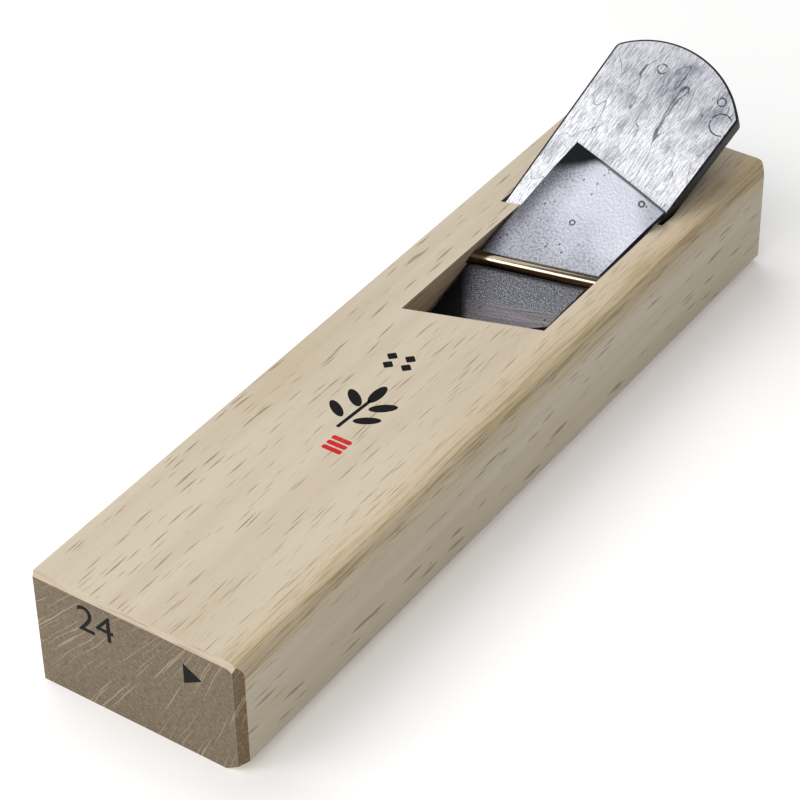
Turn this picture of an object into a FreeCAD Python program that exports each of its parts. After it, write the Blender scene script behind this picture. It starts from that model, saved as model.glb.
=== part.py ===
import FreeCAD, Part
import Sketcher
import math
import os

# A skewed corner plane of the pull kind: an oak block with a slanting throat, a laminated
# wedge blade held in two side grooves, a chipbreaker on the blade's face and a steel cross pin.
# X runs across the sole from the working side (-X) to the other side, Y along the sole with
# the leading end at -Y, and Z up from the sole, whose middle is the origin.

doc = FreeCAD.newDocument("skew_plane")

SIZES = {
    # oak block
    "body_width": 44, "body_length": 180, "body_height": 25,
    "relief_wide": 4.1, "relief_tall": 2.7,
    "top_round": 2.8, "corner_chamfer": 1.5, "end_chamfer_tall": 1.2, "end_chamfer_deep": 0.5,
    # seat: the plane of the blade's face, through the mouth line
    "bed_rise": 0.8, "skew_angle": 18.3, "mouth_place": 14.87,
    # throat, measured on the top of the block
    "throat_left": -12.1, "throat_right": 14.45, "throat_front": 11.0,
    "wall_lean": 0.45, "mouth_gap": 1.0, "throat_below": 0.4,
    # blade, measured along and across its own axis
    "blade_lean": 25.15, "blade_middle": 13.0, "blade_apex": 88.85, "crown_radius": 19.5,
    "blade_half_edge": 13.79, "blade_flare": 0.0143,
    "blade_thick_edge": 4.2, "blade_thicken": 0.012, "bevel_angle": 28,
    "steel_thick": 1.2, "steel_long": 42,
    "groove_side_gap": 0.5, "groove_face_gap": 0.1,
    # chipbreaker, measured along and across its own axis
    "breaker_lean": 30, "breaker_left": -0.82, "breaker_wide": 23.4, "breaker_top": 60.3,
    "breaker_narrow": 0.08, "breaker_side_gap": 0.7,
    "breaker_tip": 3.6, "breaker_bevel_top": 15.3, "breaker_height": 3.0,
    "breaker_hollow": 0.8, "breaker_lay": 0.1, "breaker_land": 1, "breaker_relief": 11,
    "ear_size": 6.6, "ear_tilt": 8,
    "breaker_steel_thick": 0.9, "breaker_steel_long": 10,
    # cross pin and the plug that closes its hole
    "pin_radius": 1.5, "pin_across": 27.14, "pin_up": 24.55, "pin_clear": 0.1, "pin_turn": 3.7,
    "pin_cover": 3.0, "plug_long": 3.5,
    # lengths of the cutting shapes, which only have to be long enough
    "reach": 120,
}

sheet = doc.addObject("Spreadsheet::Sheet", "Sizes")
for row, (name, value) in enumerate(SIZES.items(), start=1):
    sheet.set(f"A{row}", name)
    sheet.set(f"B{row}", str(value))
    sheet.setAlias(f"B{row}", name)
doc.recompute()


def size(name):
    return float(getattr(sheet, name))


def vector(x, y, z=0):
    return FreeCAD.Vector(x, y, z)


# The seat frame lies in the blade's face: X along the mouth line, Y up the slope and Z out of
# the face. Its origin is where the cutting edge meets the working side.
skew = math.radians(size("skew_angle"))
pitch = math.atan(size("bed_rise") / math.cos(skew))
along_mouth = vector(math.cos(skew), math.sin(skew))
level = vector(-math.sin(skew), math.cos(skew))
up_slope = level * math.cos(pitch) + vector(0, 0, math.sin(pitch))
seat = FreeCAD.Placement(
    vector(-size("body_width") / 2, size("mouth_place")),
    FreeCAD.Rotation(along_mouth, up_slope, along_mouth.cross(up_slope), "ZXY"),
)
rise = "Sizes.bed_rise"
sink = "tan(Sizes.skew_angle * 1 deg)"


def leaning(lean):
    """A turn about the face's normal that brings Y onto an axis leaning off the slope."""
    return FreeCAD.Placement(vector(0, 0), FreeCAD.Rotation(vector(0, 0, 1), -size(lean)))


def bind(thing, **expressions):
    for prop, expression in expressions.items():
        thing.setExpression(prop, expression)
    return thing


def add_outline(sketch, corners):
    """A closed polygon whose corners are pairs of expressions, measured from the origin."""
    count = len(corners)
    first = sketch.GeometryCount
    start = [vector(math.cos(2 * math.pi * i / count), math.sin(2 * math.pi * i / count))
             for i in range(count)]
    for i in range(count):
        sketch.addGeometry(Part.LineSegment(start[i], start[(i + 1) % count]), False)
    for i, (x, y) in enumerate(corners):
        line, following = first + i, first + (i + 1) % count
        sketch.addConstraint(Sketcher.Constraint("Coincident", line, 2, following, 1))
        for kind, expression, now in (("DistanceX", x, start[i].x), ("DistanceY", y, start[i].y)):
            number = sketch.addConstraint(Sketcher.Constraint(kind, -1, 1, line, 1, now))
            sketch.setExpression(f"Constraints[{number}]", expression)


def new_sketch(body, name, plane, corners, offset=None):
    sketch = body.newObject("Sketcher::SketchObject", name)
    support = [f for f in body.Origin.OriginFeatures if f.Role == plane][0]
    sketch.AttachmentSupport = [(support, "")]
    sketch.MapMode = "FlatFace"
    if offset:
        sketch.AttachmentOffset = offset
    add_outline(sketch, corners)
    doc.recompute()
    return sketch


def new_body(name, placement=None):
    body = doc.addObject("PartDesign::Body", name)
    if placement:
        body.Placement = placement
    return body


def edge_near(shape, point):
    """The name of the straight edge whose middle is nearest to a point."""
    gaps = [(edge.CenterOfMass - point).Length for edge in shape.Edges]
    return f"Edge{gaps.index(min(gaps)) + 1}"


def plate(name, profile, outline, lean):
    """A plate in the seat frame: a side profile across the mouth, trimmed to an outline."""
    body = new_body(name, seat)
    pad = body.newObject("PartDesign::Pad", name + "_pad")
    pad.Profile = new_sketch(body, name + "_profile", "YZ_Plane", profile)
    pad.Midplane = True
    bind(pad, Length="Sizes.reach")
    trim = new_sketch(body, name + "_outline", "XY_Plane", outline, leaning(lean))
    far = "2 * Sizes.reach"
    add_outline(trim, [(f"-{far}", f"-{far}"), (far, f"-{far}"), (far, far), (f"-{far}", far)])
    doc.recompute()
    pocket = body.newObject("PartDesign::Pocket", name + "_trim")
    pocket.Profile = trim
    pocket.Midplane = True
    bind(pocket, Length="2 * Sizes.reach")
    body.Tip = pocket
    doc.recompute()
    return body


def block(name, placement, **lengths):
    """A plain box that cuts or keeps a region, with its lengths bound to the sheet."""
    box = doc.addObject("Part::Box", name)
    bind(box, **lengths)
    box.Placement = placement
    return box


def boolean(kind, name, base, tool):
    result = doc.addObject("Part::" + kind, name)
    result.Base = base
    result.Tool = tool
    doc.recompute()
    return result


def working_side_trim(name, inside=0):
    """A block beyond the working side, or a little inside it, for trimming the steel flush."""
    reach = size("reach")
    corner = vector(inside - size("body_width") / 2 - reach, -reach, -reach)
    return block(name, FreeCAD.Placement(corner, FreeCAD.Rotation()),
                 Length="Sizes.reach", Width="3 * Sizes.reach", Height="3 * Sizes.reach")


# ---- oak block -------------------------------------------------------------------------

def make_block():
    body = new_body("block")
    half, tall = "Sizes.body_width / 2", "Sizes.body_height"
    pad = body.newObject("PartDesign::Pad", "block_pad")
    pad.Profile = new_sketch(body, "block_section", "XZ_Plane", [
        (f"-{half}", "0"), (f"{half} - Sizes.relief_wide", "0"),
        (half, "Sizes.relief_tall"), (half, tall), (f"-{half}", tall)])
    pad.Midplane = True
    bind(pad, Length="Sizes.body_length")
    doc.recompute()
    x, y, z = size("body_width") / 2, size("body_length") / 2, size("body_height")
    corners = body.newObject("PartDesign::Chamfer", "block_corners")
    uprights = [edge_near(pad.Shape, vector(x, side * y, z / 2)) for side in (-1, 1)]
    corners.Base = (pad, uprights)
    bind(corners, Size="Sizes.corner_chamfer")
    doc.recompute()
    rounding = body.newObject("PartDesign::Fillet", "block_top_round")
    rounding.Base = (corners, [edge_near(corners.Shape, vector(x, 0, z))])
    bind(rounding, Radius="Sizes.top_round")
    doc.recompute()
    ease = body.newObject("PartDesign::Chamfer", "block_end_ease")
    ease.Base = (rounding, [edge_near(rounding.Shape, vector(0, -y, z))])
    ease.ChamferType = "Two distances"
    bind(ease, Size="Sizes.end_chamfer_deep", Size2="Sizes.end_chamfer_tall")
    doc.recompute()
    body.Tip = ease
    doc.recompute()
    return body


def make_throat():
    """The open throat in front of the blade: both side walls lean towards the working side."""
    top, below = "Sizes.body_height", "Sizes.throat_below"
    full = f"({top} + {below})"
    mouth_face = f"(Sizes.mouth_place + Sizes.body_width / 2 * {sink})"
    front_low = f"({mouth_face} - Sizes.mouth_gap)"
    front_rake = f"(({front_low} - Sizes.throat_front) / {top})"
    body = new_body("throat")
    sketches = []
    ends = (("low", full, -size("throat_below")), ("high", "0", size("body_height")))
    for name, drop, height in ends:
        left = f"(Sizes.throat_left - Sizes.wall_lean * {drop})"
        right = f"(Sizes.throat_right - Sizes.wall_lean * {drop})"
        front = f"(Sizes.throat_front + {front_rake} * {drop})"
        back = f"({mouth_face} + ({top} - {drop}) / {rise})"
        offset = FreeCAD.Placement(vector(0, 0, height), FreeCAD.Rotation())
        sketches.append(new_sketch(body, "throat_" + name, "XY_Plane", [
            (left, f"{front} + {left} * {sink}"), (right, f"{front} + {right} * {sink}"),
            (right, f"{back} + {right} * {sink}"), (left, f"{back} + {left} * {sink}")], offset))
    loft = body.newObject("PartDesign::AdditiveLoft", "throat_loft")
    loft.Profile = sketches[0]
    loft.Sections = [sketches[1]]
    loft.Ruled = True
    body.Tip = loft
    doc.recompute()
    return body


def make_blade_groove():
    half = "(Sizes.blade_half_edge + Sizes.groove_side_gap + Sizes.blade_flare * {0})"
    low, high = "-Sizes.reach / 8", "Sizes.reach * 3 / 4"
    back = "-(Sizes.blade_thick_edge + Sizes.groove_face_gap + Sizes.blade_thicken * ({0}))"
    profile = [(low, "Sizes.groove_face_gap"), (low, back.format(low)),
               (high, back.format(high)), (high, "Sizes.groove_face_gap")]
    outline = [(f"Sizes.blade_middle {sign} {half.format(place)}", place)
               for sign, place in (("-", low), ("+", low), ("+", high), ("-", high))]
    return plate("blade_groove", profile, outline, "blade_lean")


def make_pin_place():
    """A frame on the cross pin: Z runs along it from its blind end in the working side."""
    height = size("breaker_height") + size("pin_clear") + size("pin_radius")
    middle = seat.multVec(vector(size("pin_across"), size("pin_up"), height))
    turn = math.radians(size("pin_turn"))
    direction = seat.Rotation.multVec(vector(math.cos(turn), -math.sin(turn)))
    blind = -size("body_width") / 2 + size("pin_cover")
    start = middle + direction * ((blind - middle.x) / direction.x)
    to_side = (size("body_width") / 2 - start.x) / direction.x
    return FreeCAD.Placement(start, FreeCAD.Rotation(vector(0, 0, 1), direction)), to_side


pin_place, pin_to_side = make_pin_place()


def cylinder(name, start, height):
    """A rod of the pin's size, from one distance along the pin's line."""
    rod = doc.addObject("Part::Cylinder", name)
    bind(rod, Radius="Sizes.pin_radius")
    rod.Height = height
    rod.Placement = pin_place.multiply(FreeCAD.Placement(vector(0, 0, start), FreeCAD.Rotation()))
    return rod


def make_plane_body():
    fuse = doc.addObject("Part::MultiFuse", "openings")
    fuse.Shapes = [make_throat(), make_blade_groove(), cylinder("pin_bore", 0, pin_to_side + 5)]
    doc.recompute()
    return boolean("Cut", "plane_body", make_block(), fuse)


# ---- cross pin and plug ----------------------------------------------------------------

def make_pin():
    return cylinder("cross_pin", 0, pin_to_side - size("plug_long"))


def make_plug():
    rod = cylinder("plug_rod", pin_to_side - size("plug_long"), 2 * size("plug_long"))
    y = size("body_length") / 2
    side = block("inside_side", FreeCAD.Placement(vector(0, -y), FreeCAD.Rotation()),
                 Length="Sizes.body_width / 2", Width="Sizes.body_length", Height="Sizes.body_height")
    return boolean("Common", "pin_plug", rod, side)


# ---- blade -----------------------------------------------------------------------------

def make_blade():
    """Iron back and steel face of one forged wedge, with a round head and a skewed bevel."""
    far = "Sizes.reach"
    back_at = "(Sizes.blade_thick_edge + Sizes.blade_thicken * {0})"
    heel = "Sizes.blade_thick_edge / (tan(Sizes.bevel_angle * 1 deg) - Sizes.blade_thicken)"
    profile = [("0", "0"), (f"{heel}", f"-{back_at.format('(' + heel + ')')}"),
               (far, f"-{back_at.format(far)}"), (far, "0")]
    low, high = "-Sizes.reach / 5", "Sizes.blade_apex"
    half = "(Sizes.blade_half_edge + Sizes.blade_flare * {0})"
    outline = [(f"Sizes.blade_middle {sign} {half.format(place)}", place)
               for sign, place in (("-", low), ("+", low), ("+", high), ("-", high))]
    blank = plate("blade_blank", profile, outline, "blade_lean")

    axis = seat.multiply(leaning("blade_lean"))
    centre = vector(size("blade_middle"), size("blade_apex") - size("crown_radius"), -size("reach") / 2)
    crown = doc.addObject("Part::Cylinder", "crown")
    bind(crown, Radius="Sizes.crown_radius", Height="Sizes.reach")
    crown.Placement = axis.multiply(FreeCAD.Placement(centre, FreeCAD.Rotation()))
    above = block("above_crown", axis.multiply(FreeCAD.Placement(
        centre - vector(size("reach") / 2, 0), FreeCAD.Rotation())),
        Length="Sizes.reach", Width="Sizes.reach", Height="Sizes.reach")
    waste = boolean("Cut", "crown_waste", above, crown)
    round_head = boolean("Cut", "blade_round_head", blank, waste)
    blade = boolean("Cut", "blade_flush", round_head, working_side_trim("blade_side_trim"))

    layer_corner = vector(-size("reach") / 2, size("steel_long") - size("reach"), -size("steel_thick"))
    layer = block("steel_layer", axis.multiply(FreeCAD.Placement(layer_corner, FreeCAD.Rotation())),
                  Length="Sizes.reach", Width="Sizes.reach", Height="Sizes.reach / 4")
    return boolean("Cut", "blade_iron", blade, layer), boolean("Common", "blade_steel", blade, layer)


# ---- chipbreaker -----------------------------------------------------------------------

def bent_corner(name, base, across, side):
    """Folds one top corner of the chipbreaker down until it nearly touches the blade."""
    axis = seat.multiply(leaning("breaker_lean"))
    leg, top, reach = size("ear_size"), size("breaker_top"), size("reach")
    fold = axis.multiply(FreeCAD.Placement(
        vector(across + side * leg / 2, top - leg / 2, size("breaker_height")),
        FreeCAD.Rotation(vector(0, 0, 1), side * 45)))
    corner = vector(-reach / 2, 0, -reach / 2)
    keep = block(name + "_corner", fold.multiply(FreeCAD.Placement(corner, FreeCAD.Rotation())),
                 Length="Sizes.reach", Width="Sizes.reach", Height="Sizes.reach")
    flat = boolean("Common", name + "_flat", base, keep)
    rest = boolean("Cut", name + "_rest", base, keep)
    tilt = FreeCAD.Rotation(vector(1, 0, 0), -size("ear_tilt"))
    flat.Placement = fold.multiply(FreeCAD.Placement(vector(0, 0), tilt)).multiply(fold.inverse())
    doc.recompute()
    return boolean("Fuse", name, rest, flat)


def make_breaker():
    tip, lay, top = "Sizes.breaker_tip", "Sizes.breaker_lay", "Sizes.breaker_height"
    far, hollow = "Sizes.reach", "Sizes.breaker_hollow"
    profile = [(tip, lay), (f"{tip} + Sizes.breaker_land", lay), (f"{tip} + Sizes.breaker_relief", hollow),
               (far, hollow), (far, top), ("Sizes.breaker_bevel_top", top)]
    left, right = "Sizes.breaker_left", "Sizes.breaker_left + Sizes.breaker_wide"
    low, high = f"-{far} / 5", "Sizes.breaker_top"
    narrowing = f"Sizes.breaker_narrow * ({high} - {low})"
    outline = [(left, low), (f"{right} - {narrowing}", low), (right, high), (left, high)]
    blank = plate("breaker_blank", profile, outline, "breaker_lean")
    trimmed = boolean("Cut", "breaker_flush", blank,
                      working_side_trim("breaker_side_trim", size("breaker_side_gap")))
    left_ear = bent_corner("left_ear", trimmed, size("breaker_left"), 1)
    eared = bent_corner("right_ear", left_ear, size("breaker_left") + size("breaker_wide"), -1)

    reach = size("reach")
    place = vector(-reach / 2, size("breaker_tip") + size("breaker_steel_long") - reach,
                   size("breaker_lay") + size("breaker_steel_thick") - reach)
    layer = block("breaker_layer", seat.multiply(FreeCAD.Placement(place, FreeCAD.Rotation())),
                  Length="Sizes.reach", Width="Sizes.reach", Height="Sizes.reach")
    return (boolean("Cut", "chipbreaker_iron", eared, layer),
            boolean("Common", "chipbreaker_steel", eared, layer))


parts = [make_plane_body(), make_pin(), make_plug(), *make_blade(), *make_breaker()]
doc.recompute()

for thing in doc.Objects:
    if any(flag in thing.State for flag in ("Invalid", "Error")):
        raise RuntimeError(f"{thing.Label} failed: {thing.State}")
os.makedirs("parts", exist_ok=True)
for part in parts:
    if part.Shape.isNull() or not part.Shape.isValid() or len(part.Shape.Solids) != 1:
        raise RuntimeError(f"{part.Label} is not one valid solid")
    box = part.Shape.optimalBoundingBox()
    print(part.Label, f"{part.Shape.Volume:.1f} mm3,",
          f"{box.XLength:.2f} x {box.YLength:.2f} x {box.ZLength:.2f} mm")
    part.Shape.exportStep(f"parts/{part.Label}.step")
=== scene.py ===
import bmesh
import bpy
from math import atan, cos, pi, radians, sin, sqrt, tan
from mathutils import Matrix, Vector


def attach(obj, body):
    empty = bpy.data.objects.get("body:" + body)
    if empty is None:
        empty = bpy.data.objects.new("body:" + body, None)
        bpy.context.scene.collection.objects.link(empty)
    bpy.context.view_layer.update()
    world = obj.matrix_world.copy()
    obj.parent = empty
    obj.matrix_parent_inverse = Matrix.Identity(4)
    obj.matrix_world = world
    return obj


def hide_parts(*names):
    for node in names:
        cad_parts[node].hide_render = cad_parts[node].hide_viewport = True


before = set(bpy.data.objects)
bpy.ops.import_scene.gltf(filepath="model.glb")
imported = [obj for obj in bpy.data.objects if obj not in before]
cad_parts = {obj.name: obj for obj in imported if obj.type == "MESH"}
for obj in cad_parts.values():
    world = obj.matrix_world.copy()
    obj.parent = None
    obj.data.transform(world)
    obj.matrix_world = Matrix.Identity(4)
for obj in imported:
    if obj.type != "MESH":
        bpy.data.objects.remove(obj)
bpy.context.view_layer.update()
mm = 0.001
print("frame loaded:", ", ".join(sorted(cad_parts)))


def clearSelection():
    if bpy.context.object and bpy.context.object.mode != "OBJECT":
        bpy.ops.object.mode_set(mode="OBJECT")
    bpy.ops.object.select_all(action="DESELECT")


def openForEditing(piece):
    clearSelection()
    piece.select_set(True)
    bpy.context.view_layer.objects.active = piece
    bpy.ops.object.mode_set(mode="EDIT")


def pick(kind, test):
    # kind is "verts", "edges" or "faces", and test looks at one of them
    modes = {"verts": "VERT", "edges": "EDGE", "faces": "FACE"}
    bpy.ops.mesh.select_mode(type=modes[kind])
    bpy.ops.mesh.select_all(action="DESELECT")
    mesh = bmesh.from_edit_mesh(bpy.context.object.data)
    mesh.normal_update()
    for element in getattr(mesh, kind):
        if test(element):
            element.select_set(True)
    mesh.select_flush_mode()
    bmesh.update_edit_mesh(bpy.context.object.data)


def saw(point, normal, fill=True, keepBoth=False):
    # cuts everything with a plane and throws away the side that the normal points to
    bpy.ops.mesh.select_all(action="SELECT")
    bpy.ops.mesh.bisect(plane_co=point, plane_no=normal, threshold=1e-7,
                        use_fill=fill and not keepBoth, clear_outer=not keepBoth)


def drawOut(x, y, z):
    # extrudes what is selected, by millimetres
    shift = Vector((x, y, z)) * mm
    bpy.ops.mesh.extrude_region_move(TRANSFORM_OT_translate={"value": shift})


def middleOf(element):
    points = [vert.co for vert in element.verts]
    return sum(points, Vector()) / len(points)


def finishShape(piece, place=None, smoothAngle=30, flatArea=12):
    # merges doubles, turns the faces outward and puts the piece's place into its mesh
    bpy.ops.mesh.select_all(action="SELECT")
    bpy.ops.mesh.remove_doubles(threshold=1e-6)
    bpy.ops.mesh.normals_make_consistent(inside=False)
    clearSelection()
    piece.select_set(True)
    bpy.context.view_layer.objects.active = piece
    if place:
        piece.matrix_world = place
    bpy.ops.object.transform_apply(location=True, rotation=True, scale=True)
    bpy.ops.object.shade_smooth_by_angle(angle=radians(smoothAngle))
    # large faces (square millimetres) stay flat, so that soft edges don't tint them
    for polygon in piece.data.polygons:
        if polygon.area > flatArea * mm * mm:
            polygon.use_smooth = False
    return piece


def turnMesh(piece, turn):
    # turns the mesh itself and goes back to editing it
    bpy.ops.object.mode_set(mode="OBJECT")
    piece.matrix_world = turn
    bpy.ops.object.transform_apply(location=True, rotation=True, scale=True)
    bpy.ops.object.mode_set(mode="EDIT")


def coat(piece, *materials):
    piece.data.materials.clear()
    for material in materials:
        piece.data.materials.append(material)
    return piece


# the seat frame: X along the mouth, Y up the slope, Z out of the blade's face
seatPlan = {"skewAngle": 18.3, "bedRise": 0.8, "mouthPlace": 14.87, "halfWidth": 22.0,
            "bladeLean": 25.15, "breakerLean": 30.0}


def makeSeat():
    skew = radians(seatPlan["skewAngle"])
    pitch = atan(seatPlan["bedRise"] / cos(skew))
    alongMouth = Vector((cos(skew), sin(skew), 0))
    upSlope = Vector((-sin(skew) * cos(pitch), cos(skew) * cos(pitch), sin(pitch)))
    outOfFace = alongMouth.cross(upSlope)
    place = Matrix((alongMouth, upSlope, outOfFace)).transposed().to_4x4()
    place.translation = Vector((-seatPlan["halfWidth"], seatPlan["mouthPlace"], 0)) * mm
    return place


seat = makeSeat()


def leaned(angle):
    # a frame in the seat whose Y leans off the slope, as the irons do
    return seat @ Matrix.Rotation(-radians(angle), 4, "Z")


bladeFrame = leaned(seatPlan["bladeLean"])
breakerFrame = leaned(seatPlan["breakerLean"])


class Wire:
    # a shader socket that takes part in sums
    def __init__(self, recipe, socket):
        self.recipe, self.socket = recipe, socket

    def maths(self, operation, *values):
        return self.recipe.node("ShaderNodeMath", {"operation": operation}, dict(enumerate(values)))

    def __add__(self, other):
        return self.maths("ADD", self, other)

    def __sub__(self, other):
        return self.maths("SUBTRACT", self, other)

    def __rsub__(self, other):
        return self.maths("SUBTRACT", other, self)

    def __mul__(self, other):
        return self.maths("MULTIPLY", self, other)

    def __truediv__(self, other):
        return self.maths("DIVIDE", self, other)

    def __pow__(self, other):
        return self.maths("POWER", self, other)

    def __abs__(self):
        return self.maths("ABSOLUTE", self)

    def atMost(self, limit):
        return self.maths("MINIMUM", self, limit)

    __radd__ = __add__
    __rmul__ = __mul__


class Recipe:
    # one material and the nodes that it is made from
    def __init__(self, name):
        self.material = bpy.data.materials.new(name)
        self.material.use_nodes = True
        self.tree = self.material.node_tree
        self.tree.nodes.clear()

    def node(self, kind, settings=None, sockets=None, output=0):
        made = self.tree.nodes.new(kind)
        for name, value in (settings or {}).items():
            setattr(made, name, value)
        for name, value in (sockets or {}).items():
            if isinstance(value, Wire):
                self.tree.links.new(value.socket, made.inputs[name])
            else:
                made.inputs[name].default_value = value
        return Wire(self, made.outputs[output]) if made.outputs else None

    def place(self, frameOfPiece=None):
        # object coordinates in millimetres, in the frame of the piece
        here = self.node("ShaderNodeTexCoord", output="Object")
        if frameOfPiece is not None:
            back = frameOfPiece.inverted()
            here = self.node("ShaderNodeMapping", sockets={
                "Vector": here, "Location": back.translation, "Rotation": back.to_euler()})
        return self.node("ShaderNodeVectorMath", {"operation": "SCALE"}, {0: here, "Scale": 1 / mm})

    def parts(self, vector):
        split = self.node("ShaderNodeSeparateXYZ", sockets={0: vector}).socket.node
        return [Wire(self, socket) for socket in split.outputs]

    def joined(self, x, y, z=0.0):
        return self.node("ShaderNodeCombineXYZ", sockets={0: x, 1: y, 2: z})

    def noise(self, vector, detail=2.0, roughness=0.5, distortion=0.0):
        return self.node("ShaderNodeTexNoise", sockets={
            "Vector": vector, "Scale": 1.0, "Detail": detail, "Roughness": roughness,
            "Distortion": distortion})

    def fade(self, value, start, end, low=0.0, high=1.0):
        return self.node("ShaderNodeMapRange", {"interpolation_type": "SMOOTHSTEP"}, {
            0: value, 1: start, 2: end, 3: low, 4: high})

    def blend(self, factor, first, second, kind="MIX"):
        return self.node("ShaderNodeMix", {"data_type": "RGBA", "blend_type": kind},
                         {0: factor, 6: first, 7: second}, output=2)

    def bump(self, height, distance, strength=1.0):
        return self.node("ShaderNodeBump", sockets={
            "Height": height, "Distance": distance, "Strength": strength})

    def finish(self, **sockets):
        named = {name.replace("_", " "): value for name, value in sockets.items()}
        shader = self.node("ShaderNodeBsdfPrincipled", sockets=named)
        self.node("ShaderNodeOutputMaterial", sockets={"Surface": shader})
        return self.material


def rgb(red, green, blue):
    # display colour out of 255 to linear
    def linear(value):
        value /= 255
        return value / 12.92 if value <= 0.04045 else ((value + 0.055) / 1.055) ** 2.4
    return (linear(red), linear(green), linear(blue), 1.0)


def distanceTo(x, y, across, along):
    offX, offY = x - across, y - along
    return (offX * offX + offY * offY) ** 0.5


def ringMark(r, x, y, across, along, radius, thickness):
    away = abs(distanceTo(x, y, across, along) - radius)
    return 1.0 - r.fade(away, thickness * 0.4, thickness)


# lengths in millimetres, colours as they show
oakLook = {
    "pith": (43.0, 73.0), "meanRadius": 75.0,
    "ground": rgb(208, 192, 168), "warm": rgb(198, 180, 151), "pale": rgb(214, 200, 178),
    "fleck": rgb(156, 137, 108), "fleckLength": 11.0, "fleckWidth": 0.45, "fleckReach": 4.0,
    "fleckSize": 0.25, "spark": rgb(226, 214, 194),
    "endGround": rgb(132, 118, 97), "endDark": rgb(106, 92, 73), "endRay": rgb(178, 160, 131),
    "chamfer": rgb(102, 82, 55), "edgeTan": rgb(252, 238, 208),
    "streak": rgb(176, 152, 114), "paintedSideShade": rgb(242, 246, 249),
    "edgeAcross": (14.0, 22.0), "edgeUp": (17.0, 24.0), "sideAcross": (20.8, 21.95),
    "strip": rgb(207, 191, 169), "stripLine": rgb(178, 156, 134),
}


def oakGrain(r):
    # the place in the tree: distance from the pith and the way round it
    x, y, z = r.parts(r.place())
    pithX, pithZ = oakLook["pith"]
    acrossX, acrossZ = x - pithX, z - pithZ
    radius = (acrossX * acrossX + acrossZ * acrossZ) ** 0.5
    turn = acrossZ.maths("ARCTAN2", acrossZ, -1.0 * acrossX) * oakLook["meanRadius"]
    wander = r.noise(r.joined(x * 0.06, y * 0.02, z * 0.06)) - 0.5
    return x, y, z, radius, turn + wander * 3.0


def oakFlecks(r, grain):
    # ray flecks: thin lenses that lie along the grain
    x, y, z, radius, turn = grain
    cells = r.joined(radius / oakLook["fleckReach"], y / oakLook["fleckLength"],
                     turn / oakLook["fleckWidth"])
    lens = {"distance": "MINKOWSKI", "feature": "F1"}
    lensSockets = {"Vector": cells, "Scale": 1.0, "Exponent": 1.15, "Randomness": 1.0}
    away = r.node("ShaderNodeTexVoronoi", lens, lensSockets)
    chance = r.parts(r.node("ShaderNodeTexVoronoi", lens, lensSockets, output="Color"))[0]
    patch = r.noise(r.joined(x * 0.11, y * 0.035, z * 0.11))
    reach = oakLook["fleckSize"] + chance * 0.12 + (patch - 0.5) * 0.08
    return r.fade(reach - away, -0.02, 0.08) * r.fade(chance, 0.1, 0.7, 0.35, 1.0)


def oakLong(r, grain, ringAround):
    # the faces along the grain: growth bands, pores, pale specks and flecks
    x, y, z, radius, turn = grain
    fleck = oakFlecks(r, grain)
    bands = r.noise(r.joined(radius * 0.33, y * 0.012, turn * 0.03), detail=3.0)
    slow = r.noise(r.joined(x * 0.05, y * 0.013, z * 0.05), detail=2.0)
    pores = r.noise(r.joined(x * 3.0, y * 0.4, z * 3.0), detail=3.0, roughness=0.7)
    specks = r.noise(r.joined(x * 4.2, y * 0.9, z * 4.2 + 11.0), detail=1.0)
    colour = r.blend(r.fade(bands, 0.38, 0.66), oakLook["pale"], oakLook["ground"])
    colour = r.blend(r.fade(slow, 0.42, 0.75, 0.0, 0.6), colour, oakLook["warm"])
    colour = r.blend(r.fade(pores, 0.52, 0.8, 0.0, 0.42), colour, oakLook["warm"])
    colour = r.blend(r.fade(specks, 0.66, 0.76, 0.0, 0.6), colour, oakLook["spark"])
    colour = r.blend(fleck * 0.85, colour, oakLook["fleck"])
    # the right-hand edge is a deeper, streaky tan, and the right side has painted shade
    tanned = r.fade(x, *oakLook["edgeAcross"]) * r.fade(z, *oakLook["edgeUp"])
    streaks = r.noise(r.joined(x * 2.2, y * 0.06, z * 2.2), detail=3.0, roughness=0.6)
    colour = r.blend(tanned * 0.6, colour, oakLook["edgeTan"], kind="MULTIPLY")
    colour = r.blend(tanned * r.fade(streaks, 0.46, 0.66), colour, oakLook["streak"])
    # painted shade: the right side is tinted a little cooler and darker, as a bluish side light
    # would
    sideShadeMask = r.fade(x, *oakLook["sideAcross"])
    colour = r.blend(sideShadeMask, colour, oakLook["paintedSideShade"], kind="MULTIPLY")
    if ringAround is not None:
        # the thin line round a plug
        plugX, plugY = r.parts(r.place(ringAround))[:2]
        away = (plugX * plugX + plugY * plugY) ** 0.5
        colour = r.blend(r.fade(away, 1.2, 1.45, 0.0, 0.5), colour, oakLook["fleck"])
    return colour, (1.0 - fleck) * 0.5 + pores * 0.5


def oakEnd(r, grain, chamfered):
    # end grain: light rays on a darker ground with short strokes along the rings
    radius, turn = grain[3:]
    rayLine = r.noise(r.joined(radius * 0.04, turn * 2.6, 3.0), detail=2.0, roughness=0.6)
    ray = r.fade(rayLine, 0.6, 0.66)
    mottle = r.noise(r.joined(radius * 2.6, turn * 0.8, 7.0), detail=3.0, roughness=0.7)
    fine = r.noise(r.joined(radius * 1.1, turn * 6.0, 1.0), detail=2.0)
    if chamfered:
        strokes = ray * 0.5 + r.fade(fine, 0.52, 0.7, 0.0, 0.45)
        return r.blend(strokes, oakLook["chamfer"], oakLook["endRay"]), mottle
    colour = r.blend(r.fade(mottle, 0.36, 0.66), oakLook["endDark"], oakLook["endGround"])
    colour = r.blend(r.fade(fine, 0.56, 0.72, 0.0, 0.45), colour, oakLook["endRay"])
    return r.blend(ray * 0.75, colour, oakLook["endRay"]), mottle


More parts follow.
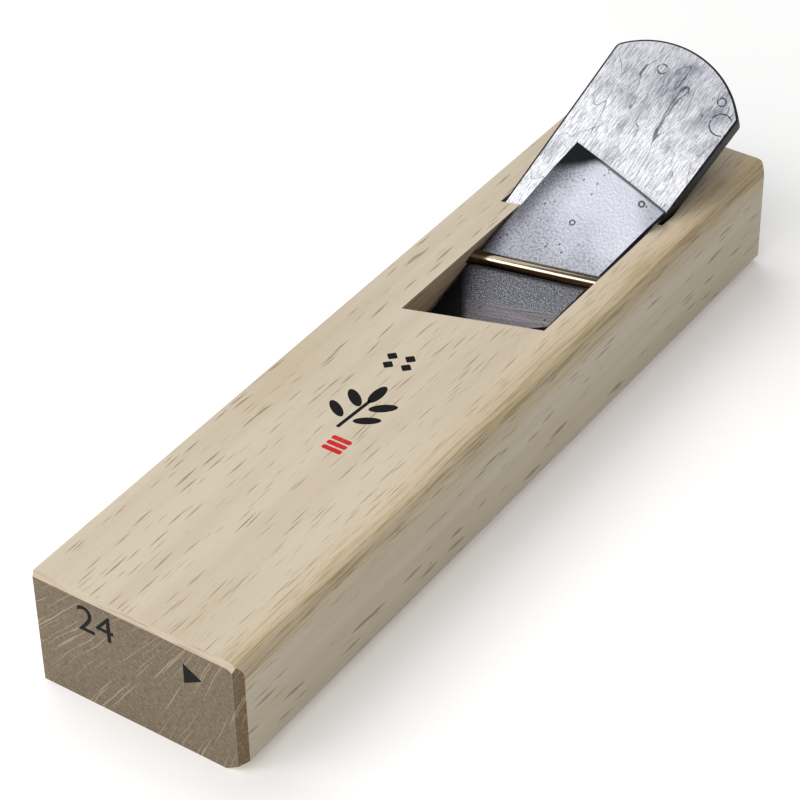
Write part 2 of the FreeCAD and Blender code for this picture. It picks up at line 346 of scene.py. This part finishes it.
def oakStrip(r, grain):
    # the narrow easing over an end, where the rings run out in fine lines
    x, y, z = grain[:3]
    rings = r.noise(r.joined(x * 0.12, y * 2.0, z * 4.2), detail=3.0, distortion=0.6)
    lines = r.fade(rings, 0.5, 0.62, 0.0, 0.8)
    return r.blend(lines, oakLook["strip"], oakLook["stripLine"]), rings


def makeOak(name, cut="long", ringAround=None):
    r = Recipe(name)
    grain = oakGrain(r)
    if cut == "long":
        colour, height = oakLong(r, grain, ringAround)
    elif cut == "strip":
        colour, height = oakStrip(r, grain)
    else:
        colour, height = oakEnd(r, grain, chamfered=cut == "chamfer")
    return r.finish(Base_Color=colour, Roughness=0.52 + height * 0.16,
                    Normal=r.bump(height, 0.00006, 0.35), Specular_IOR_Level=0.35)


planedOak = makeOak("planedOak")
endOak = makeOak("endOak", "end")
chamferOak = makeOak("chamferOak", "chamfer")
stripOak = makeOak("stripOak", "strip")
print("oak mixed")


def makeBlackScale():
    r = Recipe("blackScale")
    here = r.place()
    coarse = r.node("ShaderNodeVectorMath", {"operation": "SCALE"}, {0: here, "Scale": 1.4})
    skin = r.noise(coarse, detail=4.0, roughness=0.65)
    colour = r.blend(r.fade(skin, 0.35, 0.75), rgb(20, 20, 22), rgb(52, 52, 56))
    return r.finish(Base_Color=colour, Metallic=0.6, Roughness=0.42 + skin * 0.25,
                    Normal=r.bump(skin, 0.0001, 0.5))


def makeGroundSteel(name, colourLow, colourHigh):
    # grind lines along the mouth
    r = Recipe(name)
    x, y, z = r.parts(r.place(seat))
    lines = r.noise(r.joined(x * 0.06, y * 7.0, z * 7.0), detail=3.0, roughness=0.7)
    tone = r.noise(r.joined(x * 0.2, y * 0.4, z * 0.4))
    colour = r.blend(r.fade(lines, 0.35, 0.65), colourLow, colourHigh)
    colour = r.blend(r.fade(tone, 0.4, 0.7, 0.0, 0.3), colour, colourLow)
    return r.finish(Base_Color=colour, Metallic=0.85, Roughness=0.32 + lines * 0.16,
                    Normal=r.bump(lines, 0.00004, 0.4))


def makeInk(name, colour, faded):
    r = Recipe(name)
    x, y, z = r.parts(r.place())
    grain = r.noise(r.joined(x * 3.2, y * 0.3, z * 3.2), detail=3.0, roughness=0.65)
    return r.finish(Base_Color=r.blend(r.fade(grain, 0.52, 0.8), colour, faded), Roughness=0.6,
                    Specular_IOR_Level=0.15)


blackScale = makeBlackScale()
bevelBand = makeGroundSteel("bevelBand", rgb(84, 76, 84), rgb(150, 141, 148))
brightEdge = makeGroundSteel("brightEdge", rgb(150, 152, 158), rgb(222, 224, 228))
blackInk = makeInk("blackInk", rgb(13, 12, 13), rgb(44, 38, 32))
redInk = makeInk("redInk", rgb(205, 38, 44), rgb(214, 96, 88))
print("metals and inks mixed")


# the block is the given shape with its edges eased
blockPlan = {
    "edge": 0.16, "segments": 2, "smoothAngle": 25, "endFrom": 84.0,
    # how far a face looks along the block to be end, chamfer or strip
    "endFacing": 0.965, "chamferFacing": 0.56, "stripFacing": 0.84,
}


def makeBlock():
    plan = blockPlan
    clearSelection()
    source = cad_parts["plane_body"]
    block = source.copy()
    block.data = source.data.copy()
    for key in list(block.keys()):
        del block[key]
    block.parent = None
    block.name = "oakBlock"
    bpy.context.scene.collection.objects.link(block)
    openForEditing(block)
    bpy.ops.mesh.select_all(action="SELECT")
    bpy.ops.mesh.remove_doubles(threshold=1e-6)
    bpy.ops.mesh.dissolve_limited(angle_limit=radians(0.3))
    bpy.ops.object.mode_set(mode="OBJECT")
    bpy.ops.object.shade_smooth_by_angle(angle=radians(plan["smoothAngle"]))
    easing = block.modifiers.new("easing", "BEVEL")
    easing.width = plan["edge"] * mm
    easing.segments = plan["segments"]
    easing.limit_method = "ANGLE"
    easing.angle_limit = radians(plan["smoothAngle"])
    easing.miter_outer = "MITER_ARC"
    easing.harden_normals = True
    bpy.ops.object.modifier_apply(modifier="easing")
    coat(block, planedOak, endOak, chamferOak, stripOak)
    for polygon in block.data.polygons:
        facing, normal = abs(polygon.normal.y), polygon.normal
        if abs(polygon.center.y) < plan["endFrom"] * mm:
            polygon.material_index = 0
        elif facing > plan["endFacing"]:
            polygon.material_index = 1
        elif facing > plan["chamferFacing"] and normal.x > 0.5:
            polygon.material_index = 2
        elif facing > plan["stripFacing"] and normal.z > 0.26:
            polygon.material_index = 3
    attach(block, "body")
    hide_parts("plane_body")
    return block


makeBlock()
print("block eased")


bladePlan = {
    "middle": 13.0, "apex": 88.85, "crownRadius": 19.5, "crownSides": 160,
    "halfEdge": 13.79, "flare": 0.0143, "edgeThickness": 4.2, "thicken": 0.012,
    "bevelAngle": 28.0, "leftCorner": 2.0, "rightCorner": 1.0, "cornerCuts": 7,
    "faceEdge": 0.5, "backEdge": 0.5, "tail": 94.0, "blank": 9.0, "rimFrom": 26.0,
}


forgedLook = {
    "bright": rgb(240, 240, 244), "grey": rgb(158, 158, 166), "dark": rgb(58, 58, 64),
    "line": rgb(30, 30, 34), "stain": rgb(112, 114, 126), "cracks": 0.0032,
    "ringLine": 0.2,
    # punch rings and soft dark stains: across, along, radius
    "rings": ((9.0, 82.4, 1.0), (23.0, 83.2, 0.85), (25.6, 79.2, 2.3)),
    "stains": ((12.6, 79.4, 5.5), (24.2, 80.4, 2.6), (19.4, 69.4, 1.9)),
}


def makeForgedFace():
    r = Recipe("forgedFace")
    x, y = r.parts(r.place(bladeFrame))[:2]
    brushed = r.noise(r.joined(x * 4.5, y * 0.3, 0.0), detail=5.0, roughness=0.85)
    scratches = r.noise(r.joined(x * 6.0, y * 0.45, 5.0), detail=3.0, roughness=0.7)
    patches = r.noise(r.joined(x * 0.16, y * 0.1, 9.0), detail=4.0, roughness=0.6)
    wobble = r.noise(r.joined(x * 0.9, y * 0.5, 21.0), detail=3.0) - 0.5
    field = r.noise(r.joined(x * 0.17 + wobble * 0.16, y * 0.05, 2.0), detail=1.0)
    where = r.noise(r.joined(x * 0.2, y * 0.09, 14.0), detail=1.0)
    crack = 1.0 - r.fade(abs(field - 0.5), 0.001, forgedLook["cracks"])
    line = r.fade(where, 0.42, 0.52) * crack
    other = r.noise(r.joined(x * 0.26 + wobble * 0.2, y * 0.1, 31.0), detail=1.0)
    crack = 1.0 - r.fade(abs(other - 0.47), 0.001, forgedLook["cracks"])
    curl = r.fade(where, 0.56, 0.46) * crack
    speck = r.node("ShaderNodeTexVoronoi", {"feature": "F1"},
                   {"Vector": r.joined(x * 0.9, y * 0.7, 0.0), "Scale": 1.0})
    specks = (1.0 - r.fade(speck, 0.05, 0.14)) * r.fade(patches, 0.45, 0.6)
    marks = line * 0.8 + curl * 0.6 + specks * 0.7
    for across, along, radius in forgedLook["rings"]:
        ring = ringMark(r, x, y, across, along, radius, forgedLook["ringLine"])
        marks = marks + ring * r.fade(wobble, -0.12, 0.02)
    marks = marks.atMost(1.0)
    shade = r.fade(patches, 0.5, 0.7, 0.0, 0.5)
    for across, along, radius in forgedLook["stains"]:
        away = distanceTo(x, y, across, along) + wobble * radius
        stain = 1.0 - r.fade(away, radius * 0.2, radius * 1.2)
        shade = shade + stain * r.fade(brushed, 0.6, 0.4, 0.2, 0.6)
    colour = r.blend(r.fade(brushed, 0.4, 0.56), forgedLook["grey"], forgedLook["bright"])
    shade = shade + r.fade(y, 66.0, 84.0, 0.0, 0.3)
    colour = r.blend(shade.atMost(0.9), colour, forgedLook["stain"])
    colour = r.blend(r.fade(scratches, 0.56, 0.7, 0.0, 0.6), colour, forgedLook["dark"])
    colour = r.blend(marks * 0.85, colour, forgedLook["line"])
    relief = r.bump(brushed * 0.4 + (1.0 - marks) * 0.6 + patches * 1.5, 0.0001, 0.5)
    return r.finish(Base_Color=colour, Metallic=0.85, Normal=relief,
                    Roughness=0.34 + brushed * 0.18 + marks * 0.2)


def halfBlade(along):
    return bladePlan["halfEdge"] + bladePlan["flare"] * along


def roundHeadCorner(side, radius):
    # cuts tangent to a small circle that touches the crown and the side
    plan = bladePlan
    crownY = plan["apex"] - plan["crownRadius"]
    across = halfBlade(crownY + 12) - radius
    up = sqrt((plan["crownRadius"] - radius) ** 2 - across ** 2)
    last = atan(up / across)
    for i in range(plan["cornerCuts"]):
        angle = last * (i + 0.5) / plan["cornerCuts"]
        away = Vector((side * cos(angle), sin(angle), 0))
        centre = Vector((plan["middle"] + side * across, crownY + up, 0))
        saw((centre + away * radius) * mm, away, fill=False)


def makeBlade():
    plan = bladePlan
    clearSelection()
    crownY = plan["apex"] - plan["crownRadius"]
    bpy.ops.mesh.primitive_circle_add(
        vertices=plan["crownSides"], radius=plan["crownRadius"] * mm, fill_type="NGON",
        location=(plan["middle"] * mm, crownY * mm, 0))
    blade = bpy.context.object
    blade.name = "bladeIron"
    bpy.ops.object.transform_apply()
    openForEditing(blade)
    for side in (-1, 1):
        edge = Vector((plan["middle"] + side * plan["halfEdge"], 0, 0)) * mm
        saw(edge, Vector((side, -plan["flare"], 0)), fill=False)
    saw(Vector((0, crownY, 0)) * mm, Vector((0, -1, 0)), fill=False)
    roundHeadCorner(-1, plan["leftCorner"])
    roundHeadCorner(1, plan["rightCorner"])

    # the shank, drawn out from the lower edge and narrowed with the taper
    low = crownY * mm + 1e-6
    pick("edges", lambda edge: all(vert.co.y < low for vert in edge.verts))
    drawOut(0, -plan["tail"], 0)
    ratio = halfBlade(crownY - plan["tail"]) / halfBlade(crownY)
    tailEnd = Vector((plan["middle"], crownY - plan["tail"], 0)) * mm
    bpy.ops.transform.resize(value=(ratio, 1, 1), center_override=tailEnd)
    bpy.ops.mesh.select_all(action="SELECT")
    drawOut(0, 0, -plan["blank"])
    bpy.ops.mesh.select_all(action="SELECT")
    bpy.ops.mesh.normals_make_consistent(inside=False)

    # back, bevel and the flush corner, as planes of the seat
    toPiece = (bladeFrame.inverted() @ seat).to_3x3()
    thick, rise = plan["edgeThickness"], plan["thicken"]
    saw(Vector((0, 0, -thick)) * mm, toPiece @ Vector((0, -rise, -1)))
    slant = tan(radians(plan["bevelAngle"]))
    saw(Vector((0, 0, 0)), toPiece @ Vector((0, -slant, -1)))
    outward = bladeFrame.inverted().to_3x3() @ Vector((-1, 0, 0))
    saw(bladeFrame.inverted() @ Vector((-seatPlan["halfWidth"] * mm, 0, 0)), outward)
    bpy.ops.mesh.select_all(action="SELECT")
    bpy.ops.mesh.remove_doubles(threshold=1e-6)

    # the hammered rim: softened all round except near the cutting edge
    def onRim(edge, sign):
        if len(edge.link_faces) != 2:
            return False
        faces = [face.normal.z * sign > 0.9 for face in edge.link_faces]
        return faces[0] != faces[1] and middleOf(edge).y > plan["rimFrom"] * mm
    pick("edges", lambda edge: onRim(edge, 1))
    bpy.ops.mesh.bevel(offset=plan["faceEdge"] * mm, segments=2, affect="EDGES")
    pick("edges", lambda edge: onRim(edge, -1))
    bpy.ops.mesh.bevel(offset=plan["backEdge"] * mm, segments=2, affect="EDGES")

    finishShape(blade, bladeFrame)
    coat(blade, blackScale, makeForgedFace(), brightEdge)
    face = seat.to_3x3() @ Vector((0, 0, 1))
    bevel = (seat.to_3x3() @ Vector((0, -slant, -1))).normalized()
    for polygon in blade.data.polygons:
        if polygon.normal.dot(face) > 0.995:
            polygon.material_index = 1
        elif polygon.normal.dot(bevel) > 0.995:
            polygon.material_index = 2
    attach(blade, "blade")
    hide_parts("blade_iron", "blade_steel")
    return blade


makeBlade()
print("blade forged")


breakerPlan = {
    "left": -0.82, "width": 23.4, "narrow": 0.08, "top": 60.3, "sideGap": 0.7,
    "tip": 3.6, "bevelTop": 15.3, "height": 3.0, "lay": 0.1, "land": 1.0, "relief": 11.0,
    "hollow": 0.8, "earSize": 6.6, "earTilt": 8.0, "bendSteps": 8, "bendWidth": 3.2,
    "edge": 0.14, "rimFrom": 14.0, "blank": (80.0, 120.0, 10.0),
    # the facet's line over the face, as seat places, and its tilt
    "facetUpper": (11.84, 22.35), "facetLower": (13.25, 15.5), "facetTilt": 10.0,
}


breakerLook = {
    # bright serves the painted sheen and glints, low the painted pin shadow below pinUp, deep the
    # painted shade along the left and the dark of the peel
    "bright": rgb(196, 197, 207), "grey": rgb(150, 151, 160), "low": rgb(84, 84, 90),
    "deep": rgb(56, 56, 64), "pinUp": 24.4, "pinAcross": 27.0, "pinFall": 0.065,
    "scale": rgb(16, 17, 20), "strip": rgb(128, 122, 124), "stripDark": rgb(84, 79, 82),
    "facetMiddle": 19.0, "stripTop": 17.0,
    # punch rings: across, along, radius, line
    "punches": ((18.0, 58.4, 0.55, 0.3), (9.7, 46.9, 0.5, 0.2)),
}


def makeBreakerFace():
    r = Recipe("breakerFace")
    x, y = r.parts(r.place(breakerFrame))[:2]
    peel = r.noise(r.joined(x * 2.1, y * 1.6, 0.0), detail=3.0, roughness=0.6)
    grit = r.noise(r.joined(x * 6.5, y * 5.0, 4.0), detail=2.0)
    cloud = r.noise(r.joined(x * 0.12, y * 0.1, 1.0), detail=2.0)
    pit = r.node("ShaderNodeTexVoronoi", {"feature": "F1"},
                 {"Vector": r.joined(x * 0.75, y * 0.42, 0.0), "Scale": 1.0})
    pits = (1.0 - r.fade(pit, 0.07, 0.16)) * r.fade(cloud, 0.42, 0.56)
    large, small = (ringMark(r, x, y, *punch) for punch in breakerLook["punches"])
    # painted light: a painted sheen brightens the upper middle, a painted shadow darkens the face
    # below the pin and painted shade darkens it along the left
    light = r.fade(y + cloud * 14.0, 42.0, 60.0) * r.fade(x + cloud * 8.0, 5.0, 12.0)
    colour = r.blend(light, breakerLook["grey"], breakerLook["bright"])
    seatX, seatY = r.parts(r.place(seat))[:2]
    overPin = seatY + (seatX - breakerLook["pinAcross"]) * breakerLook["pinFall"]
    # painted shadow of the pin: the face darkens from the pin's line downward
    paintedPinShadow = r.fade(overPin - breakerLook["pinUp"] + grit, 1.6, -0.6)
    colour = r.blend(paintedPinShadow, colour, breakerLook["low"])
    # painted shade along the left edge, beside the throat wall
    paintedLeftShade = r.fade(x - y * 0.05 + cloud * 2.0, 2.4, -1.8, 0.0, 0.85)
    colour = r.blend(paintedLeftShade, colour, breakerLook["deep"])
    rough = r.fade(light, 1.0, 0.0, 0.1, 0.5)
    colour = r.blend(r.fade(peel, 0.45, 0.65) * rough, colour, breakerLook["deep"])
    # near-black patches in the peel, only inside the painted pin shadow
    colour = r.blend(r.fade(peel, 0.42, 0.3) * paintedPinShadow * 0.6, colour, breakerLook["scale"])
    # painted highlight: bright glints on the grit, away from the painted sheen and in the painted
    # pin shadow
    paintedGlint = r.fade(grit, 0.52, 0.68) * (rough + paintedPinShadow * 0.3)
    colour = r.blend(paintedGlint, colour, breakerLook["bright"])
    # the facet ground off the lower left is painted near black as shade from the left wall, and a
    # honed strip runs along the bevel
    facet = seatX + (seatY - breakerLook["facetMiddle"]) * 0.2 + cloud
    facet = r.fade(facet, 16.2, 12.6) * paintedPinShadow
    colour = r.blend(facet * 0.92, colour, breakerLook["scale"])
    lines = r.noise(r.joined(seatX * 0.06, seatY * 5.0, 8.0), detail=3.0, roughness=0.7)
    honed = r.fade(seatY, breakerLook["stripTop"], breakerLook["stripTop"] - 0.3)
    honed = honed * r.fade(facet, 0.9, 0.4)
    strip = r.blend(r.fade(lines, 0.4, 0.62), breakerLook["stripDark"], breakerLook["strip"])
    colour = r.blend(honed * 0.7, colour, strip)
    # the folded corner is coloured near black
    left, top, earSize = (breakerPlan[key] for key in ("left", "top", "earSize"))
    fold = (x - left) + (top - y)
    ear = 1.0 - r.fade(fold + (cloud - 0.5) * 2.5, earSize - 1.2, earSize + 2.2)
    # painted shadow line along the top edge
    rim = r.fade(y, top - 0.75, top - 0.4)
    colour = r.blend(ear, colour, breakerLook["scale"])
    colour = r.blend(rim * 0.75, colour, breakerLook["scale"])
    marks = pits + (large + small)
    colour = r.blend(marks * 0.8, colour, breakerLook["scale"])
    relief = r.bump(peel + grit * 0.4 - marks * 0.5, 0.00012, 0.55)
    return r.finish(Base_Color=colour, Metallic=0.8, Roughness=0.34 + peel * 0.14, Normal=relief)


def foldCorner(breaker, side):
    # turns the piece so that the corner points along Y, then bends it down in small steps
    plan = breakerPlan
    across = plan["left"] if side < 0 else plan["left"] + plan["width"]
    quarter = Matrix.Rotation(side * pi / 4, 4, "Z")
    line = Vector((across - side * plan["earSize"] / 2, plan["top"] - plan["earSize"] / 2, 0))
    start = (quarter @ line).y - plan["bendWidth"] / 2
    step = plan["bendWidth"] / plan["bendSteps"]
    turn = radians(plan["earTilt"]) / plan["bendSteps"]
    turnMesh(breaker, quarter)
    for i in range(plan["bendSteps"]):
        saw(Vector((0, start + (i + 0.5) * step, 0)) * mm, Vector((0, 1, 0)), keepBoth=True)
    pivot = Vector((0, start + step / 2, plan["height"])) * mm
    for i in range(plan["bendSteps"]):
        reach = Vector((0, cos(turn * i), -sin(turn * i)))
        if i:
            pivot = pivot + reach * step * mm
        pick("verts", lambda vert: (vert.co - pivot).dot(reach) > 2e-5)
        bpy.ops.transform.rotate(value=turn, orient_axis="X", center_override=pivot)
    turnMesh(breaker, quarter.inverted())


def makeBreaker():
    plan = breakerPlan
    clearSelection()
    wide, long, deep = plan["blank"]
    bpy.ops.mesh.primitive_cube_add(
        size=1, location=Vector((wide / 8, long / 4, plan["lay"] + deep / 2)) * mm)
    breaker = bpy.context.object
    breaker.name = "chipbreakerIron"
    breaker.scale = Vector((wide, long, deep)) * mm
    bpy.ops.object.transform_apply()
    openForEditing(breaker)
    toPiece = (breakerFrame.inverted() @ seat).to_3x3()
    back = breakerFrame.inverted()
    saw(Vector((plan["left"], 0, 0)) * mm, Vector((-1, 0, 0)))
    rightTop = Vector((plan["left"] + plan["width"], plan["top"], 0)) * mm
    saw(rightTop, Vector((1, -plan["narrow"], 0)))
    saw(Vector((0, plan["top"], 0)) * mm, Vector((0, 1, 0)))
    saw(Vector((0, 0, plan["height"])) * mm, Vector((0, 0, 1)))
    saw(back @ Vector(((plan["sideGap"] - seatPlan["halfWidth"]) * mm, 0, 0)),
        back.to_3x3() @ Vector((-1, 0, 0)))
    rise, run = plan["height"] - plan["lay"], plan["bevelTop"] - plan["tip"]
    saw(toPiece @ (Vector((0, plan["tip"], plan["lay"])) * mm), toPiece @ Vector((0, -rise, run)))

    # the shallow hollow under it, behind a narrow land
    upSlope = toPiece @ Vector((0, 1, 0))
    for place in (plan["tip"] + plan["land"], plan["tip"] + plan["relief"]):
        saw(toPiece @ (Vector((0, place, 0)) * mm), upSlope, keepBoth=True)
    far = (plan["tip"] + plan["relief"] - 0.01) * mm
    low = (plan["lay"] + 0.01) * mm
    pick("verts", lambda vert: vert.co.z < low and vert.co.dot(upSlope) > far)
    bpy.ops.transform.translate(value=(0, 0, (plan["hollow"] - plan["lay"]) * mm))

    # a shallow facet ground off the lower left of the face
    upper = toPiece @ Vector((*plan["facetUpper"], plan["height"]))
    lower = toPiece @ Vector((*plan["facetLower"], plan["height"]))
    line = (upper - lower).normalized()
    tilt = Matrix.Rotation(-radians(plan["facetTilt"]), 3, line)
    saw(lower * mm, tilt @ Vector((0, 0, 1)))

    foldCorner(breaker, -1)
    foldCorner(breaker, 1)
    bpy.ops.mesh.select_all(action="SELECT")
    bpy.ops.mesh.remove_doubles(threshold=1e-6)

    def topRim(edge):
        if len(edge.link_faces) != 2:
            return False
        up = [face.normal.z > 0.9 for face in edge.link_faces]
        return up[0] != up[1] and middleOf(edge).y > plan["rimFrom"] * mm
    pick("edges", topRim)
    bpy.ops.mesh.bevel(offset=plan["edge"] * mm, segments=2, affect="EDGES")

    finishShape(breaker, breakerFrame, smoothAngle=20)
    coat(breaker, blackScale, makeBreakerFace(), bevelBand)
    face = seat.to_3x3() @ Vector((0, 0, 1))
    band = (seat.to_3x3() @ Vector((0, -rise, run))).normalized()
    for polygon in breaker.data.polygons:
        if polygon.normal.dot(band) > 0.999:
            polygon.material_index = 2
        elif polygon.normal.dot(face) > 0.93:
            polygon.material_index = 1
    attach(breaker, "chipbreaker")
    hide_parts("chipbreaker_iron", "chipbreaker_steel")
    return breaker


makeBreaker()
print("chipbreaker ground and folded")


pinPlan = {"radius": 1.5, "across": 27.14, "up": 24.55, "gap": 0.1, "turn": 3.7,
           "blindEnd": -19.0, "plugLength": 3.5, "sides": 64, "chamfer": 0.25}


def pinFrame():
    plan = pinPlan
    height = breakerPlan["height"] + plan["gap"] + plan["radius"]
    middle = seat @ (Vector((plan["across"], plan["up"], height)) * mm)
    turn = radians(plan["turn"])
    along = seat.to_3x3() @ Vector((cos(turn), -sin(turn), 0))
    start = middle + along * ((plan["blindEnd"] * mm - middle.x) / along.x)
    length = (seatPlan["halfWidth"] * mm - start.x) / along.x - plan["plugLength"] * mm
    side = Vector((0, 0, 1)).cross(along).normalized()
    place = Matrix((side, along.cross(side), along)).transposed().to_4x4()
    place.translation = start
    return place, length


pinPlace, pinLength = pinFrame()

# the pin's painted reflection bands: highlight, tan, brown, dark, and the highlight's angle round
# the pin
pinLook = {
    "bright": rgb(184, 174, 156), "tan": rgb(124, 112, 94), "brown": rgb(92, 74, 54),
    "dark": rgb(34, 27, 21), "paintedHighlightAngle": 131.0,
}


def makePinSteel():
    # painted reflection: a painted highlight along the top, with painted tan, brown and dark
    # reflections on both sides of it
    look, paintedHighlightTurn = pinLook, radians(pinLook["paintedHighlightAngle"])
    r = Recipe("pinSteel")
    x, y, z = r.parts(r.place(pinPlace))
    # noise that wobbles the painted bands and the roughness
    stain = r.noise(r.joined(x * 0.5, y * 0.5, z * 0.3), detail=2.0)
    side = x * sin(paintedHighlightTurn) - y * cos(paintedHighlightTurn) + (stain - 0.5) * 0.3
    colour = r.blend(r.fade(side, 0.15, 0.45), look["bright"], look["tan"])
    colour = r.blend(r.fade(side, 1.3, 1.42), colour, look["dark"])
    colour = r.blend(r.fade(side, -0.25, -0.5), colour, look["brown"])
    colour = r.blend(r.fade(side, -1.05, -1.3), colour, look["dark"])
    return r.finish(Base_Color=colour, Metallic=1.0, Roughness=0.12 + stain * 0.08)


def makePin():
    plan = pinPlan
    clearSelection()
    bpy.ops.mesh.primitive_cylinder_add(vertices=plan["sides"], radius=plan["radius"] * mm,
                                        depth=pinLength, location=(0, 0, pinLength / 2))
    pin = bpy.context.object
    pin.name = "crossPin"
    bpy.ops.object.transform_apply()
    openForEditing(pin)
    pick("edges", lambda edge: len({round(vert.co.z, 5) for vert in edge.verts}) == 1)
    bpy.ops.mesh.bevel(offset=plan["chamfer"] * mm, segments=2, affect="EDGES")
    finishShape(pin, pinPlace, smoothAngle=40)
    coat(pin, makePinSteel())
    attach(pin, "body")
    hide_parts("cross_pin")
    return pin


makePin()
coat(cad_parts["pin_plug"], makeOak("plugOak", ringAround=pinPlace))
print("pin turned")


# printed marks: plain figures, a little proud of the wood
markPlan = {
    "thickness": 0.02, "top": 25.0, "front": -90.0,
    # a sprig: leaves as place, length, width and turn, then its stem
    "leaves": ((-0.6, -17.6, 5.6, 2.3, 90), (-3.6, -20.6, 5.4, 2.2, 142),
               (2.6, -20.4, 5.4, 2.2, 40), (-4.6, -25.0, 5.2, 2.0, 146),
               (2.2, -25.0, 5.2, 2.0, 34)),
    "stem": (-1.0, -24.6, 9.6, 0.75, 86),
    "diamonds": ((-5.0, -6.4), (-1.6, -5.4), (-4.2, -9.0), (-0.8, -8.0)), "diamond": 1.25,
    "stamp": (1.6, -33.6, 4.2, 1.1), "number": (-12.8, 16.7, 6.0), "arrow": (11.4, 18.0, 2.6),
}


def addMark(name):
    mark = bpy.context.object
    mark.name = name
    bpy.ops.object.transform_apply()
    openForEditing(mark)
    return mark


def endMark(mark, ink, place):
    bpy.ops.mesh.select_all(action="SELECT")
    drawOut(0, 0, markPlan["thickness"])
    finishShape(mark, place)
    coat(mark, ink)
    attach(mark, "body")
    return mark


def makeTopMarks():
    plan = markPlan
    onTop = Matrix.Translation((0, 0, plan["top"] * mm))
    for number, (x, y, long, wide, turn) in enumerate(plan["leaves"], start=1):
        clearSelection()
        bpy.ops.mesh.primitive_circle_add(
            vertices=36, radius=long / 2 * mm, fill_type="NGON",
            location=(x * mm, y * mm, 0), rotation=(0, 0, radians(turn)))
        bpy.context.object.scale = (1, wide / long, 1)
        mark = addMark(f"inkLeaf{number}")
        endMark(mark, blackInk, onTop)
    bars = [("inkStem", blackInk, plan["stem"])]
    x, y, wide, thick = plan["stamp"]
    for number in (-1, 0, 1):
        bars.append((f"redBar{number + 2}", redInk, (x, y + number * wide * 0.37, wide, thick, 0)))
    for name, ink, (x, y, long, wide, turn) in bars:
        clearSelection()
        bpy.ops.mesh.primitive_plane_add(size=1, location=(x * mm, y * mm, 0),
                                         rotation=(0, 0, radians(turn)))
        bpy.context.object.scale = (long * mm, wide * mm, 1)
        mark = addMark(name)
        bpy.ops.mesh.select_all(action="SELECT")
        bpy.ops.mesh.bevel(offset=wide * 0.4 * mm, segments=5, affect="VERTICES")
        endMark(mark, ink, onTop)
    for number, (x, y) in enumerate(plan["diamonds"], start=1):
        clearSelection()
        bpy.ops.mesh.primitive_circle_add(vertices=4, radius=plan["diamond"] * mm, fill_type="NGON",
                                          location=(x * mm, y * mm, 0))
        mark = addMark(f"inkDiamond{number}")
        bpy.ops.mesh.select_all(action="SELECT")
        bpy.ops.mesh.bevel(offset=0.25 * mm, segments=3, affect="VERTICES")
        endMark(mark, blackInk, onTop)


def makeFrontMarks():
    plan = markPlan
    # stands the flat marks up on the leading end
    onFront = Matrix.Translation((0, plan["front"] * mm, 0)) @ Matrix.Rotation(pi / 2, 4, "X")
    x, z, tall = plan["number"]
    clearSelection()
    bpy.ops.object.text_add(location=(0, 0, 0))
    bpy.context.object.data.body = "24"
    bpy.context.object.data.size = tall * 1.38 * mm
    bpy.ops.object.convert(target="MESH")
    bpy.context.object.location = (x * mm, z * mm, 0)
    mark = addMark("sizeNumber")
    bpy.ops.mesh.select_all(action="SELECT")
    bpy.ops.mesh.remove_doubles(threshold=1e-7)
    endMark(mark, blackInk, onFront)
    x, z, wide = plan["arrow"]
    clearSelection()
    bpy.ops.mesh.primitive_circle_add(vertices=3, radius=wide * mm, fill_type="NGON",
                                      location=(x * mm, z * mm, 0), rotation=(0, 0, -pi / 2))
    mark = addMark("sideArrow")
    endMark(mark, blackInk, onFront)


makeTopMarks()
makeFrontMarks()
print("marks printed")


studioPlan = {
    "floor": 3.0, "floorColour": (0.97, 0.955, 0.94, 1.0), "floorGlow": 0.14, "world": 0.22,
    "worldColour": (0.92, 0.96, 1.0, 1.0),
    # each light: place, width, height, power
    "lights": {
        "front": ((-0.10, -0.80, 0.85), 1.5, 0.7, 10.5),
        "over": ((-0.55, 0.25, 1.0), 0.9, 0.9, 6.0),
    },
}


def setStudio():
    plan = studioPlan
    clearSelection()
    bpy.ops.mesh.primitive_plane_add(size=plan["floor"], location=(0, 0, -0.05 * mm))
    floor = bpy.context.object
    floor.name = "floor"
    r = Recipe("paleFloor")
    coat(floor, r.finish(Base_Color=plan["floorColour"], Roughness=0.9,
                         Emission_Color=(1, 1, 1, 1), Emission_Strength=plan["floorGlow"]))
    world = bpy.data.worlds.new("studio")
    world.use_nodes = True
    backdrop = world.node_tree.nodes["Background"]
    backdrop.inputs["Color"].default_value = plan["worldColour"]
    backdrop.inputs["Strength"].default_value = plan["world"]
    bpy.context.scene.world = world
    for name, (place, wide, tall, power) in plan["lights"].items():
        clearSelection()
        bpy.ops.object.light_add(type="AREA", location=place)
        light = bpy.context.object
        light.name = name
        light.data.shape = "RECTANGLE"
        light.data.size, light.data.size_y = wide, tall
        light.data.energy = power
        light.rotation_euler = (Vector() - Vector(place)).to_track_quat("-Z", "Y").to_euler()


cameraPlan = {"azimuth": 35.016, "elevation": 37.966, "roll": -1.065, "distance": 533.31,
              "aim": (-5.106, -4.033, 13.0), "focal": 126.554}


def setCamera():
    plan = cameraPlan
    azimuth, elevation, roll = (radians(plan[key]) for key in ("azimuth", "elevation", "roll"))
    back = Vector((sin(azimuth) * cos(elevation), -cos(azimuth) * cos(elevation), sin(elevation)))
    right = Vector((cos(azimuth), sin(azimuth), 0))
    up = back.cross(right)
    across = right * cos(roll) + up * sin(roll)
    upward = up * cos(roll) - right * sin(roll)
    place = Matrix((across, upward, back)).transposed().to_4x4()
    place.translation = (Vector(plan["aim"]) + back * plan["distance"]) * mm
    clearSelection()
    bpy.ops.object.camera_add()
    camera = bpy.context.object
    camera.matrix_world = place
    camera.data.lens, camera.data.sensor_width = plan["focal"], 36.0
    camera.data.clip_start = 0.01
    bpy.context.scene.camera = camera


setStudio()
setCamera()
bpy.context.scene.view_settings.view_transform = "Standard"
print("studio ready")
